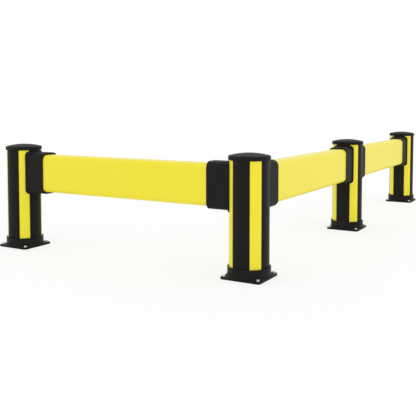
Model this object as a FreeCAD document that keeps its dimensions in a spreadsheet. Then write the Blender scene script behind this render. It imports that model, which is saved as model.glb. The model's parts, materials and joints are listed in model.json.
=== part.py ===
import FreeCAD, Part
import math
import os
import re

import Sketcher

# Crash protection barrier: four round posts on square feet, joined by three hollow rails.
# The run turns a right angle at post 2. Posts 1 and 2 stand along X, posts 2, 3 and 4 along Y.
# Lengths are in millimetres. The origin is on the floor, under the middle of the corner post.

SIZES = {
    # layout
    "post_spacing": 1214,
    # foot plate and its anchors
    "plate_thickness": 10,
    "plate_corner_radius": 12,
    "plate_edge_bevel": 0.8,
    "anchor_edge_distance": 13.5,
    "anchor_collar_gap": 3.54,
    "anchor_hole_gap": 1.5,
    "anchor_dia": 8,
    "anchor_depth": 70,
    "anchor_point_bevel": 1.2,
    "anchor_flange_dia": 16,
    "anchor_flange_edge": 1.1,
    "anchor_flange_slope": 0.5,
    "anchor_head_across_flats": 13,
    "anchor_head_height": 5.5,
    # collar welded to the foot plate
    "collar_gap": 0.4,
    "collar_wall": 6.3,
    "collar_height": 37,
    "collar_flare": 5,
    "collar_lip_round": 1.5,
    # post extrusion and the strips that slide into it
    "post_dia": 160,
    "post_wall": 10,
    "post_length": 462,
    "strip_land_width": 12.9,
    "strip_thickness": 5,
    "strip_undercut": 2,
    "strip_bevel": 1.2,
    "strip_gap": 0.2,
    "strip_end_gap": 0.5,
    "cut_overrun": 2,
    # steel spigot inside the post, and the tie that clamps the post down on the foot
    "spigot_gap": 0.5,
    "spigot_wall": 5,
    "spigot_nut_plate_gap": 69,
    "spigot_top_thickness": 12,
    "tie_dia": 16,
    "tie_end_length": 6,
    "tie_head_across_flats": 24,
    "tie_head_height": 10,
    "tie_head_bevel": 1,
    "tie_hole_gap": 0.5,
    "clamp_disc_inset": 4,
    "clamp_disc_thickness": 5,
    # cap
    "cap_gap": 0.3,
    "cap_skirt_wall": 3.8,
    "cap_skirt_drop": 7,
    "cap_edge_rise": 9.3,
    "cap_dome_rise": 11.5,
    "cap_edge_round": 5,
    "cap_rim_round": 0.8,
    "cap_wall": 4,
    "cap_seat_width": 16,
    # rail profile
    "rail_end_gap": 17,
    "rail_height": 173.5,
    "rail_corner_radius": 24,
    "rail_wall": 7,
    "rail_web": 6,
    # socket that carries a rail end on the post
    "saddle_thickness": 5,
    "saddle_cap_gap": 4.55,
    "saddle_corner_gap": 11.2,
    "saddle_side_width": 6,
    "saddle_top_height": 5,
    "saddle_corner_radius": 20,
    "saddle_edge_round": 1.2,
    "socket_web_thickness": 10,
    "socket_depth": 78,
    "socket_gap": 0.3,
    "socket_side_wall": 3.7,
    "socket_top_wall": 9.7,
    "socket_root_round": 3,
    "socket_mouth_round": 1,
    # bolts that hold a socket, and the plate inside the post that they pull on
    "bolt_dia": 10,
    "bolt_hole_gap": 0.5,
    "bolt_length": 32,
    "bolt_pitch_across": 40,
    "bolt_pitch_up": 110,
    "bolt_head_across_flats": 16,
    "bolt_head_height": 6.4,
    "bolt_head_bevel": 0.8,
    "nut_plate_thickness": 6,
    "nut_plate_side_width": 11,
    "nut_plate_end_length": 20,
}

# Sizes that follow from the driving ones, written as expressions of them.
POST_RADIUS = "(post_dia / 2)"
POST_TOP = "(plate_thickness + post_length)"
BORE_RADIUS = "(post_dia / 2 - post_wall)"
COLLAR_INNER = f"({POST_RADIUS} + collar_gap)"
COLLAR_OUTER = f"({COLLAR_INNER} + collar_wall)"

# The anchors stand just clear of the collar's flare, on the plate's diagonals.
ANCHOR_REACH = f"(({COLLAR_OUTER} + collar_flare + anchor_collar_gap + anchor_flange_dia / 2) / sqrt(2))"
PLATE_SIDE = f"(2 * ({ANCHOR_REACH} + anchor_edge_distance))"

# A saddle covers nearly a quarter of the post, so that two fit side by side at a corner.
SADDLE_RADIUS = f"({POST_RADIUS} + saddle_thickness)"
SADDLE_HALF_ANGLE = f"(45 - saddle_corner_gap / 2 / {SADDLE_RADIUS} * 180 / pi)"
SADDLE_HALF = f"({SADDLE_RADIUS} * sin({SADDLE_HALF_ANGLE}))"
SOCKET_WIDTH = f"(2 * {SADDLE_HALF} - 2 * saddle_side_width)"
SOCKET_HEIGHT = "(rail_height + 2 * socket_top_wall)"
SADDLE_HEIGHT = f"({SOCKET_HEIGHT} + 2 * saddle_top_height)"
ROOM_WIDTH = f"({SOCKET_WIDTH} - 2 * socket_side_wall)"
SEAT_REACH = f"({POST_RADIUS} + socket_web_thickness)"
MOUTH_REACH = f"({SEAT_REACH} + socket_depth)"

# The sockets hang just below the caps, and the rails fill them.
RAIL_LEVEL = f"({POST_TOP} - cap_skirt_drop - saddle_cap_gap - {SADDLE_HEIGHT} / 2)"
RAIL_THICKNESS = f"({ROOM_WIDTH} - 2 * socket_gap)"
RAIL_LENGTH = f"(post_spacing - 2 * {SEAT_REACH} - 2 * rail_end_gap)"

# Inside the post, the spigot ends below the nut plates, and the tie reaches through its top.
NUT_PLATE_HEIGHT = "(bolt_pitch_up + 2 * nut_plate_end_length)"
SPIGOT_RADIUS = f"({BORE_RADIUS} - spigot_gap)"
SPIGOT_HEIGHT = f"({RAIL_LEVEL} - {NUT_PLATE_HEIGHT} / 2 - spigot_nut_plate_gap - plate_thickness)"
TIE_DEPTH = "(spigot_top_thickness + tie_end_length)"
TIE_LENGTH = f"(post_length + clamp_disc_thickness - {SPIGOT_HEIGHT} + {TIE_DEPTH})"

# A strip leaves a land between its edge and the nearest bolt holes of a socket.
BOLT_HOLE_EDGE = "(bolt_pitch_across / 2 + bolt_dia / 2 + bolt_hole_gap)"
BOLT_HOLE_ANGLE = f"(asin({BOLT_HOLE_EDGE} / {POST_RADIUS}) / 1 deg)"
STRIP_HALF = f"({POST_RADIUS} * sin(45 - {BOLT_HOLE_ANGLE} - strip_land_width / {POST_RADIUS} * 180 / pi))"

# Where each post stands, and which way each rail leaves its first post, in degrees from X.
POSTS = {
    "1": ("-post_spacing", "0"),
    "2": ("0", "0"),
    "3": ("0", "post_spacing"),
    "4": ("0", "2 * post_spacing"),
}
RAILS = {
    "1": ("1", "2", 0),
    "2": ("2", "3", 90),
    "3": ("3", "4", 90),
}

QUARTER_TURNS = 4
TOUCHING = 1e-4
STRIP_TURN = 45
UP = FreeCAD.Vector(0, 0, 1)
SIZE_NAME = re.compile(r"[a-z_]+")

doc = FreeCAD.newDocument("crash_barrier")
sheet = doc.addObject("Spreadsheet::Sheet", "Sizes")
for row, (name, number) in enumerate(SIZES.items(), start=1):
    sheet.set(f"A{row}", name)
    sheet.set(f"B{row}", str(number))
    sheet.setAlias(f"B{row}", name)
doc.recompute()


# Expressions
def full(text):
    """The same expression, with each size written as a cell of the sheet."""
    return SIZE_NAME.sub(lambda found: f"Sizes.{found[0]}" if found[0] in SIZES else found[0], text)


def value(text):
    """What an expression of the sizes comes to now."""
    return float(sheet.evalExpression(full(text)))


def bind(target, setting, text):
    """Ties a setting of an object to an expression of the sizes."""
    target.setExpression(setting, full(text))


# Bodies and sketches
def new_body(label, place, height="0", turn=0):
    """An empty body that stands at place and height, turned about its upright axis."""
    body = doc.addObject("PartDesign::Body", label)
    body.Label = label
    body.Placement = FreeCAD.Placement(FreeCAD.Vector(), FreeCAD.Rotation(UP, turn))
    for axis, text in zip("xyz", (*place, height)):
        bind(body, f"Placement.Base.{axis}", text)
    return body


def new_sketch(body, name, role, lift="0", shift="0", spin=0):
    """A sketch on one of the body's own planes: lifted off it, shifted or spun about its upright axis."""
    sketch = body.newObject("Sketcher::SketchObject", f"{body.Label}_{name}")
    plane = next(item for item in body.Origin.OriginFeatures if item.Role == role)
    sketch.AttachmentSupport = [(plane, "")]
    sketch.MapMode = "FlatFace"
    turn = FreeCAD.Rotation(FreeCAD.Vector(0, 1, 0), spin)
    sketch.AttachmentOffset = FreeCAD.Placement(FreeCAD.Vector(), turn)
    bind(sketch, "AttachmentOffset.Base.x", shift)
    bind(sketch, "AttachmentOffset.Base.z", lift)
    return sketch


def hold(sketch, kind, first, second, text):
    """Adds a distance between two points of a sketch and ties it to an expression."""
    row = sketch.addConstraint(Sketcher.Constraint(kind, *first, *second, value(text)))
    bind(sketch, f"Constraints[{row}]", text)


def hold_point(sketch, edge, end, across, up):
    """Holds one end of a line or arc, or a centre, at its distances from the sketch's origin."""
    for kind, axis, text in (("DistanceX", -2, across), ("DistanceY", -1, up)):
        if text == "0":
            sketch.addConstraint(Sketcher.Constraint("PointOnObject", edge, end, axis))
        else:
            hold(sketch, kind, (-1, 1), (edge, end), text)


def outline(sketch, corners, arcs=()):
    """Closed outline through corners. The sides listed in arcs are centred on the upright axis."""
    points = [FreeCAD.Vector(value(across), value(up), 0) for across, up in corners]
    ends = []
    for side, start in enumerate(points):
        finish = points[(side + 1) % len(points)]
        if side in arcs:
            drop = start.y - finish.y
            if abs(start.x - finish.x) < 1e-9:
                centre = FreeCAD.Vector()
            else:
                centre = FreeCAD.Vector(0, (start.Length ** 2 - finish.Length ** 2) / (2 * drop), 0)
            circle = Part.Circle(centre, UP, start.distanceToPoint(centre))
            forward = (start - centre).cross(finish - centre).z > 0
            first, last = (start, finish) if forward else (finish, start)
            angles = [math.atan2(point.y - centre.y, point.x - centre.x) for point in (first, last)]
            edge = sketch.addGeometry(Part.ArcOfCircle(circle, *angles), False)
            sketch.addConstraint(Sketcher.Constraint("PointOnObject", edge, 3, -2))
            ends.append((edge, 1, 2) if forward else (edge, 2, 1))
        else:
            edge = sketch.addGeometry(Part.LineSegment(start, finish), False)
            ends.append((edge, 1, 2))
    for side, (edge, start_end, finish_end) in enumerate(ends):
        following, following_end, _ = ends[(side + 1) % len(ends)]
        sketch.addConstraint(Sketcher.Constraint("Coincident", edge, finish_end, following, following_end))
        hold_point(sketch, edge, start_end, *corners[side])


def circle(sketch, diameter, across="0", up="0"):
    """A circle with its centre at (across, up)."""
    centre = FreeCAD.Vector(value(across), value(up), 0)
    edge = sketch.addGeometry(Part.Circle(centre, UP, value(diameter) / 2), False)
    hold_point(sketch, edge, 3, across, up)
    row = sketch.addConstraint(Sketcher.Constraint("Diameter", edge, value(diameter)))
    bind(sketch, f"Constraints[{row}]", diameter)


def rectangle(sketch, width, height, up="0"):
    """A rectangle whose middle is at height up on the sketch's upright axis."""
    left, right = f"-{width} / 2", f"{width} / 2"
    low, high = f"{up} - {height} / 2", f"{up} + {height} / 2"
    outline(sketch, [(left, low), (right, low), (right, high), (left, high)])


def rounded_rectangle(sketch, width, height, radius):
    """A rectangle about the origin, with a quarter circle at each corner."""
    half_width, half_height, bend = value(width) / 2, value(height) / 2, value(radius)
    sides = []
    for quarter in range(QUARTER_TURNS):
        turn = FreeCAD.Rotation(UP, 90 * quarter)
        reach, rise = (half_width, half_height) if quarter % 2 == 0 else (half_height, half_width)
        start = turn.multVec(FreeCAD.Vector(bend - reach, -rise, 0))
        finish = turn.multVec(FreeCAD.Vector(reach - bend, -rise, 0))
        centre = turn.multVec(FreeCAD.Vector(reach - bend, bend - rise, 0))
        line = sketch.addGeometry(Part.LineSegment(start, finish), False)
        angles = [math.radians(90 * quarter - 90), math.radians(90 * quarter)]
        arc = sketch.addGeometry(Part.ArcOfCircle(Part.Circle(centre, UP, bend), *angles), False)
        sides.append((line, arc))
    for quarter, (line, arc) in enumerate(sides):
        following = sides[(quarter + 1) % QUARTER_TURNS][0]
        sketch.addConstraint(Sketcher.Constraint("Tangent", line, 2, arc, 1))
        sketch.addConstraint(Sketcher.Constraint("Tangent", arc, 2, following, 1))
        direction = "Horizontal" if quarter % 2 == 0 else "Vertical"
        sketch.addConstraint(Sketcher.Constraint(direction, line))
        if quarter:
            sketch.addConstraint(Sketcher.Constraint("Equal", sides[0][1], arc))
    bottom, right, top, left = (line for line, arc in sides)
    sketch.addConstraint(Sketcher.Constraint("Symmetric", bottom, 1, top, 1, -1, 1))
    row = sketch.addConstraint(Sketcher.Constraint("Radius", sides[0][1], bend))
    bind(sketch, f"Constraints[{row}]", radius)
    hold(sketch, "DistanceX", (left, 1), (right, 1), width)
    hold(sketch, "DistanceY", (bottom, 1), (top, 1), height)


def hexagon(sketch, across_flats, across="0", up="0"):
    """A hexagon about (across, up), with two sides upright."""
    half = f"{across_flats} / 2"
    corner = f"{across_flats} / sqrt(3)"
    steps = [(half, f"{corner} / 2"), ("0", corner), (f"-{half}", f"{corner} / 2"),
             (f"-{half}", f"-{corner} / 2"), ("0", f"-{corner}"), (half, f"-{corner} / 2")]
    outline(sketch, [(f"{across} + {step_across}", f"{up} + {step_up}") for step_across, step_up in steps])


def ring_sector(sketch, inner, outer, half_width):
    """A piece of a ring about the sketch's first axis, half_width to each side at its outer face."""
    inner_half = f"({half_width} * {inner} / {outer})"
    outer_across = f"sqrt({outer} ^ 2 - {half_width} ^ 2)"
    inner_across = f"sqrt({inner} ^ 2 - {inner_half} ^ 2)"
    corners = [(outer_across, f"-{half_width}"), (outer_across, half_width),
               (inner_across, inner_half), (inner_across, f"-{inner_half}")]
    outline(sketch, corners, arcs=(0, 2))


# Features
def finish_feature(body, feature):
    """Makes a feature the body's result and recomputes it."""
    body.Tip = feature
    doc.recompute()
    return feature


def pad(body, sketch, length, both_ways=False, downward=False):
    """Raises a sketch into a solid."""
    feature = body.newObject("PartDesign::Pad", f"{sketch.Label}_pad")
    feature.Profile = sketch
    feature.SideType = "Symmetric" if both_ways else "One side"
    feature.Reversed = downward
    bind(feature, "Length", length)
    return finish_feature(body, feature)


def pocket(body, sketch, along_normal=False, both_ways=False):
    """Cuts a sketch all the way through the body, and makes sure that it cut something."""
    before = body.Shape.Volume
    feature = body.newObject("PartDesign::Pocket", f"{sketch.Label}_pocket")
    feature.Profile = sketch
    feature.Type = "ThroughAll"
    feature.SideType = "Symmetric" if both_ways else "One side"
    feature.Reversed = along_normal
    finish_feature(body, feature)
    if body.Shape.Volume > before - 1:
        raise RuntimeError(f"{feature.Label} cut nothing")
    return feature


def revolve(body, sketch):
    """Turns a sketch about its upright axis."""
    feature = body.newObject("PartDesign::Revolution", f"{sketch.Label}_revolution")
    feature.Profile = sketch
    feature.ReferenceAxis = (sketch, ["V_Axis"])
    feature.Angle = 360
    return finish_feature(body, feature)


def groove(body, sketch):
    """Cuts away what a sketch sweeps when it turns about its upright axis."""
    before = body.Shape.Volume
    feature = body.newObject("PartDesign::Groove", f"{sketch.Label}_groove")
    feature.Profile = sketch
    feature.ReferenceAxis = (sketch, ["V_Axis"])
    feature.Angle = 360
    finish_feature(body, feature)
    if body.Shape.Volume > before - 1:
        raise RuntimeError(f"{feature.Label} cut nothing")
    return feature


def quarter_pattern(body, sketch, features):
    """Repeats features every quarter turn about the body's upright axis."""
    pattern = body.newObject("PartDesign::PolarPattern", f"{body.Label}_pattern")
    pattern.Originals = features
    pattern.Axis = (sketch, ["N_Axis"])
    pattern.Angle = 360
    pattern.Occurrences = QUARTER_TURNS
    return finish_feature(body, pattern)


def dress(body, kind, setting, size, chosen):
    """Rounds or bevels the edges of the body that chosen says yes to."""
    base = body.Tip
    edges = [f"Edge{number}" for number, edge in enumerate(base.Shape.Edges, start=1) if chosen(edge)]
    if not edges:
        raise RuntimeError(f"{body.Label} has no edge to {kind}")
    feature = body.newObject(f"PartDesign::{kind}", f"{body.Label}_{kind}")
    feature.Base = (base, edges)
    bind(feature, setting, size)
    return finish_feature(body, feature)


def at_height(edge, height):
    """Whether an edge lies flat at a height of the body's own frame."""
    box = edge.BoundBox
    return abs(box.ZMin - height) < TOUCHING and abs(box.ZMax - height) < TOUCHING


def is_upright(edge, length):
    """Whether an edge stands upright with the given length."""
    box = edge.BoundBox
    return box.XLength < TOUCHING and box.YLength < TOUCHING and abs(box.ZLength - length) < TOUCHING


# Foot: plate, collar and anchors
def base_plate(number, place):
    body = new_body(f"base_plate_{number}", place)
    square = new_sketch(body, "square", "XY_Plane")
    rectangle(square, PLATE_SIDE, PLATE_SIDE)
    pad(body, square, "plate_thickness")
    thickness = value("plate_thickness")
    dress(body, "Fillet", "Radius", "plate_corner_radius", lambda edge: is_upright(edge, thickness))
    dress(body, "Chamfer", "Size", "plate_edge_bevel", lambda edge: at_height(edge, thickness))
    hole = new_sketch(body, "anchor_hole", "XY_Plane")
    circle(hole, "anchor_dia + 2 * anchor_hole_gap", ANCHOR_REACH, ANCHOR_REACH)
    drilled = pocket(body, hole, along_normal=True)
    quarter_pattern(body, hole, [drilled])
    return body


def foot_collar(number, place):
    body = new_body(f"foot_collar_{number}", place, "plate_thickness")
    section = new_sketch(body, "section", "XZ_Plane")
    outline(section, [(COLLAR_INNER, "0"), (COLLAR_OUTER, "0"),
                      (COLLAR_OUTER, "collar_height"), (COLLAR_INNER, "collar_height")])
    revolve(body, section)
    height = value("collar_height")
    dress(body, "Fillet", "Radius", "collar_lip_round", lambda edge: at_height(edge, height))
    flare = new_sketch(body, "flare", "XZ_Plane")
    middle = f"{COLLAR_OUTER} - collar_wall / 2"
    outline(flare, [(middle, "0"), (f"{COLLAR_OUTER} + collar_flare", "0"),
                    (COLLAR_OUTER, "collar_flare"), (middle, "collar_flare")])
    revolve(body, flare)
    return body


def floor_anchors(number, place):
    body = new_body(f"floor_anchors_{number}", place, "plate_thickness")
    shank = "anchor_dia / 2"
    head = "anchor_head_across_flats / 2"
    point = "(-plate_thickness - anchor_depth)"
    flange_top = "(anchor_flange_edge + anchor_flange_slope)"
    top = f"({flange_top} + anchor_head_height)"
    section = new_sketch(body, "section", "XZ_Plane", lift=ANCHOR_REACH, shift=ANCHOR_REACH)
    outline(section, [
        ("0", point), (f"{shank} - anchor_point_bevel", point), (shank, f"{point} + anchor_point_bevel"),
        (shank, "0"), ("anchor_flange_dia / 2", "0"), ("anchor_flange_dia / 2", "anchor_flange_edge"),
        (head, flange_top), ("0", flange_top)])
    turned = revolve(body, section)
    flats = new_sketch(body, "flats", "XY_Plane")
    hexagon(flats, "anchor_head_across_flats", ANCHOR_REACH, f"-{ANCHOR_REACH}")
    raised = pad(body, flats, top)
    corner = new_sketch(body, "corner", "XZ_Plane", lift=ANCHOR_REACH, shift=ANCHOR_REACH)
    past = "anchor_head_across_flats / sqrt(3)"
    outline(corner, [(head, top), (f"{past} + anchor_dia", top),
                     (f"{past} + anchor_dia", f"{top} - ({past} + anchor_dia - {head}) / sqrt(3)")])
    cut = groove(body, corner)
    quarter_pattern(body, flats, [turned, raised, cut])
    return body


# Post: tube, strips, spigot, tie and cap
def side_points(half, waist_half, waist_radius, outer, inner, inner_half):
    """Corners of a dovetailed section about the first axis, from its outer face inwards."""
    outer_across = f"sqrt({outer} ^ 2 - {half} ^ 2)"
    waist_across = f"sqrt({waist_radius} ^ 2 - {waist_half} ^ 2)"
    inner_across = f"sqrt({inner} ^ 2 - {inner_half} ^ 2)"
    return [(outer_across, f"-{half}"), (outer_across, half), (waist_across, waist_half),
            (inner_across, inner_half), (inner_across, f"-{inner_half}"), (waist_across, f"-{waist_half}")]


def strip_section(sketch):
    """Section of a strip: flush outside, bevelled at its edges, wider at its back."""
    outline(sketch, side_points(
        half=f"({STRIP_HALF} - strip_bevel)",
        waist_half=STRIP_HALF,
        waist_radius=f"({POST_RADIUS} - strip_bevel)",
        outer=POST_RADIUS,
        inner=f"({POST_RADIUS} - strip_thickness)",
        inner_half=f"({STRIP_HALF} + strip_undercut)"), arcs=(0, 3))


def channel_section(sketch):
    """Section of the channel that a strip slides into, open through the face of the post."""
    waist = f"({STRIP_HALF} + strip_gap)"
    outline(sketch, side_points(
        half=f"({waist} + strip_bevel + cut_overrun)",
        waist_half=waist,
        waist_radius=f"({POST_RADIUS} - strip_bevel)",
        outer=f"({POST_RADIUS} + cut_overrun)",
        inner=f"({POST_RADIUS} - strip_thickness - strip_gap)",
        inner_half=f"({waist} + strip_undercut)"), arcs=(0, 3))


def bolt_holes(sketch, diameter, middle="0"):
    """Four holes in two rows and two columns about middle."""
    for side in ("", "-"):
        for level in ("+", "-"):
            circle(sketch, diameter, f"{side}bolt_pitch_across / 2", f"{middle} {level} bolt_pitch_up / 2")


def post_tube(number, place, directions):
    body = new_body(f"post_tube_{number}", place, "plate_thickness", STRIP_TURN)
    ring = new_sketch(body, "ring", "XY_Plane")
    circle(ring, "post_dia")
    circle(ring, f"2 * {BORE_RADIUS}")
    pad(body, ring, "post_length")
    channel = new_sketch(body, "channel", "XY_Plane")
    channel_section(channel)
    cut = pocket(body, channel, along_normal=True)
    quarter_pattern(body, channel, [cut])
    for count, direction in enumerate(directions, start=1):
        side = new_sketch(body, f"bolts_{count}", "YZ_Plane", spin=direction - STRIP_TURN)
        bolt_holes(side, "bolt_dia + 2 * bolt_hole_gap", f"({RAIL_LEVEL} - plate_thickness)")
        pocket(body, side, along_normal=True)
    return body


def highlight_strips(number, place):
    body = new_body(f"highlight_strips_{number}", place, "plate_thickness", STRIP_TURN)
    section = new_sketch(body, "section", "XY_Plane")
    strip_section(section)
    strip = pad(body, section, "post_length - strip_end_gap")
    quarter_pattern(body, section, [strip])
    return body


def spigot_tube(number, place):
    body = new_body(f"spigot_tube_{number}", place, "plate_thickness")
    inner = f"({SPIGOT_RADIUS} - spigot_wall)"
    shoulder = f"{SPIGOT_HEIGHT} - spigot_top_thickness"
    section = new_sketch(body, "section", "XZ_Plane")
    outline(section, [(inner, "0"), (SPIGOT_RADIUS, "0"), (SPIGOT_RADIUS, SPIGOT_HEIGHT),
                      ("tie_dia / 2", SPIGOT_HEIGHT), ("tie_dia / 2", shoulder), (inner, shoulder)])
    revolve(body, section)
    return body


def clamp_disc(number, place):
    body = new_body(f"clamp_disc_{number}", place, POST_TOP)
    disc = new_sketch(body, "disc", "XY_Plane")
    circle(disc, "post_dia - 2 * clamp_disc_inset")
    circle(disc, "tie_dia + 2 * tie_hole_gap")
    pad(body, disc, "clamp_disc_thickness")
    return body


def tie_bolt(number, place):
    body = new_body(f"tie_bolt_{number}", place, f"{POST_TOP} + clamp_disc_thickness")
    shank = new_sketch(body, "shank", "XY_Plane")
    circle(shank, "tie_dia")
    pad(body, shank, TIE_LENGTH, downward=True)
    head = new_sketch(body, "head", "XY_Plane")
    hexagon(head, "tie_head_across_flats")
    pad(body, head, "tie_head_height")
    ends = (value("tie_head_height"), -value(TIE_LENGTH))
    dress(body, "Chamfer", "Size", "tie_head_bevel", lambda edge: any(at_height(edge, end) for end in ends))
    return body


def post_cap(number, place):
    body = new_body(f"post_cap_{number}", place, POST_TOP)
    inner = f"({POST_RADIUS} + cap_gap)"
    outer = f"({inner} + cap_skirt_wall)"
    hollow = f"({inner} - cap_seat_width)"
    crown = "(cap_edge_rise + cap_dome_rise)"
    dome_radius = f"(({outer} ^ 2 + cap_dome_rise ^ 2) / (2 * cap_dome_rise))"
    hollow_top = f"({crown} - {dome_radius} + sqrt({dome_radius} ^ 2 - {hollow} ^ 2) - cap_wall)"
    section = new_sketch(body, "section", "XZ_Plane")
    outline(section, [
        (outer, "-cap_skirt_drop"), (outer, "cap_edge_rise"), ("0", crown), ("0", f"{crown} - cap_wall"),
        (hollow, hollow_top), (hollow, "clamp_disc_thickness"), (inner, "clamp_disc_thickness"),
        (inner, "-cap_skirt_drop")], arcs=(1, 3))
    revolve(body, section)
    edge_height, rim_height = value("cap_edge_rise"), -value("cap_skirt_drop")
    dress(body, "Fillet", "Radius", "cap_edge_round", lambda edge: at_height(edge, edge_height))
    dress(body, "Fillet", "Radius", "cap_rim_round", lambda edge: at_height(edge, rim_height))
    return body


# Rails and their sockets
def rail(number, middle, direction):
    body = new_body(f"rail_{number}", middle, RAIL_LEVEL, direction)
    skin = new_sketch(body, "skin", "YZ_Plane")
    rounded_rectangle(skin, RAIL_THICKNESS, "rail_height", "rail_corner_radius")
    pad(body, skin, RAIL_LENGTH, both_ways=True)
    hollow = new_sketch(body, "hollow", "YZ_Plane")
    inner_width = f"({RAIL_THICKNESS} - 2 * rail_wall)"
    inner_height = "(rail_height - 2 * rail_wall)"
    rounded_rectangle(hollow, inner_width, inner_height, "(rail_corner_radius - rail_wall)")
    pocket(body, hollow, both_ways=True)
    webs = new_sketch(body, "webs", "YZ_Plane")
    for side in ("", "-"):
        rectangle(webs, f"({inner_width} + rail_wall)", "rail_web", f"{side}{inner_height} / 6")
    pad(body, webs, RAIL_LENGTH, both_ways=True)
    return body


def rail_socket(name, place, direction):
    body = new_body(f"rail_socket_{name}", place, RAIL_LEVEL, direction)
    saddle = new_sketch(body, "saddle", "XY_Plane")
    ring_sector(saddle, POST_RADIUS, SADDLE_RADIUS, SADDLE_HALF)
    pad(body, saddle, SADDLE_HEIGHT, both_ways=True)
    half_height, outer = value(f"{SADDLE_HEIGHT} / 2"), value(SADDLE_RADIUS)
    dress(body, "Fillet", "Radius", "saddle_corner_radius", lambda edge: at_saddle_corner(edge, half_height))
    dress(body, "Fillet", "Radius", "saddle_edge_round", lambda edge: is_around(edge, outer))
    box = new_sketch(body, "box", "YZ_Plane")
    rounded_rectangle(box, SOCKET_WIDTH, SOCKET_HEIGHT, "(rail_corner_radius + socket_side_wall)")
    pad(body, box, MOUTH_REACH)
    post = new_sketch(body, "post", "XY_Plane")
    circle(post, "post_dia")
    pocket(body, post, both_ways=True)
    room = new_sketch(body, "room", "YZ_Plane", lift=SEAT_REACH)
    rounded_rectangle(room, ROOM_WIDTH, "rail_height", "rail_corner_radius")
    pocket(body, room, along_normal=True)
    holes = new_sketch(body, "bolts", "YZ_Plane")
    bolt_holes(holes, "bolt_dia + 2 * bolt_hole_gap")
    pocket(body, holes, along_normal=True)
    reach = value(MOUTH_REACH)
    dress(body, "Fillet", "Radius", "socket_mouth_round", lambda edge: at_mouth(edge, reach))
    dress(body, "Fillet", "Radius", "socket_root_round", lambda edge: is_around(edge, outer))
    return body


def at_saddle_corner(edge, half_height):
    """Whether an edge is one of the short level ones at the four corners of the saddle."""
    box = edge.BoundBox
    flat = abs(abs(box.ZMin) - half_height) < TOUCHING and box.ZLength < TOUCHING
    return flat and edge.Length < 1.5 * value("saddle_thickness")


def is_around(edge, radius):
    """Whether every end and the middle of an edge are at a radius from the upright axis."""
    middle = edge.valueAt((edge.FirstParameter + edge.LastParameter) / 2)
    points = [vertex.Point for vertex in edge.Vertexes] + [middle]
    return all(abs(math.hypot(point.x, point.y) - radius) < TOUCHING for point in points)


def at_mouth(edge, reach):
    """Whether an edge lies on the open end of the socket."""
    box = edge.BoundBox
    return abs(box.XMin - reach) < TOUCHING and abs(box.XMax - reach) < TOUCHING


def socket_bolts(name, place, direction):
    body = new_body(f"socket_bolts_{name}", place, RAIL_LEVEL, direction)
    shanks = new_sketch(body, "shanks", "YZ_Plane", lift=SEAT_REACH)
    bolt_holes(shanks, "bolt_dia")
    pad(body, shanks, "bolt_length", downward=True)
    heads = new_sketch(body, "heads", "YZ_Plane", lift=SEAT_REACH)
    for side in ("", "-"):
        for level in ("", "-"):
            middle = (f"{side}bolt_pitch_across / 2", f"{level}bolt_pitch_up / 2")
            hexagon(heads, "bolt_head_across_flats", *middle)
    pad(body, heads, "bolt_head_height")
    face = value(f"{SEAT_REACH} + bolt_head_height")
    dress(body, "Chamfer", "Size", "bolt_head_bevel", lambda edge: at_mouth(edge, face))
    return body


def nut_plate(name, place, direction):
    body = new_body(f"nut_plate_{name}", place, RAIL_LEVEL, direction)
    bar = new_sketch(body, "bar", "XY_Plane")
    half_width = "(bolt_pitch_across / 2 + nut_plate_side_width)"
    ring_sector(bar, f"({BORE_RADIUS} - nut_plate_thickness)", BORE_RADIUS, half_width)
    pad(body, bar, NUT_PLATE_HEIGHT, both_ways=True)
    holes = new_sketch(body, "threads", "YZ_Plane")
    bolt_holes(holes, "bolt_dia")
    pocket(body, holes, along_normal=True)
    return body


# Whole barrier
def build_post(number, place):
    """One post on its foot, with holes for the rails that meet it."""
    leaving = [direction for first, second, direction in RAILS.values() if first == number]
    arriving = [direction + 180 for first, second, direction in RAILS.values() if second == number]
    return [
        base_plate(number, place), foot_collar(number, place), floor_anchors(number, place),
        spigot_tube(number, place), post_tube(number, place, arriving + leaving),
        highlight_strips(number, place), clamp_disc(number, place), tie_bolt(number, place),
        post_cap(number, place)]


def build_rail(number, first, second, direction):
    """One rail between two posts, with a bolted socket at each end."""
    middle = [f"(({near}) + ({far})) / 2" for near, far in zip(POSTS[first], POSTS[second])]
    pieces = [rail(number, middle, direction)]
    for end, post, turn in (("a", first, direction), ("b", second, direction + 180)):
        name = f"{number}{end}"
        for piece in (rail_socket, socket_bolts, nut_plate):
            pieces.append(piece(name, POSTS[post], turn))
    return pieces


pieces = []
for number, place in POSTS.items():
    pieces += build_post(number, place)
for number, (first, second, direction) in RAILS.items():
    pieces += build_rail(number, first, second, direction)
doc.recompute()

for item in doc.Objects:
    if "Invalid" in item.State or "Error" in item.State:
        raise RuntimeError(f"{item.Label} did not build")
for piece in pieces:
    if piece.Shape.isNull() or not piece.Shape.Solids or not piece.Shape.isValid():
        raise RuntimeError(f"{piece.Label} is not a sound solid")

os.makedirs("parts", exist_ok=True)
for piece in pieces:
    piece.Shape.exportStep(f"parts/{piece.Label}.step")
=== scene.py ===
import json
import math

import bmesh
import bpy
from bpy.props import FloatProperty, FloatVectorProperty, PointerProperty
from mathutils import Matrix, Vector


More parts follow.
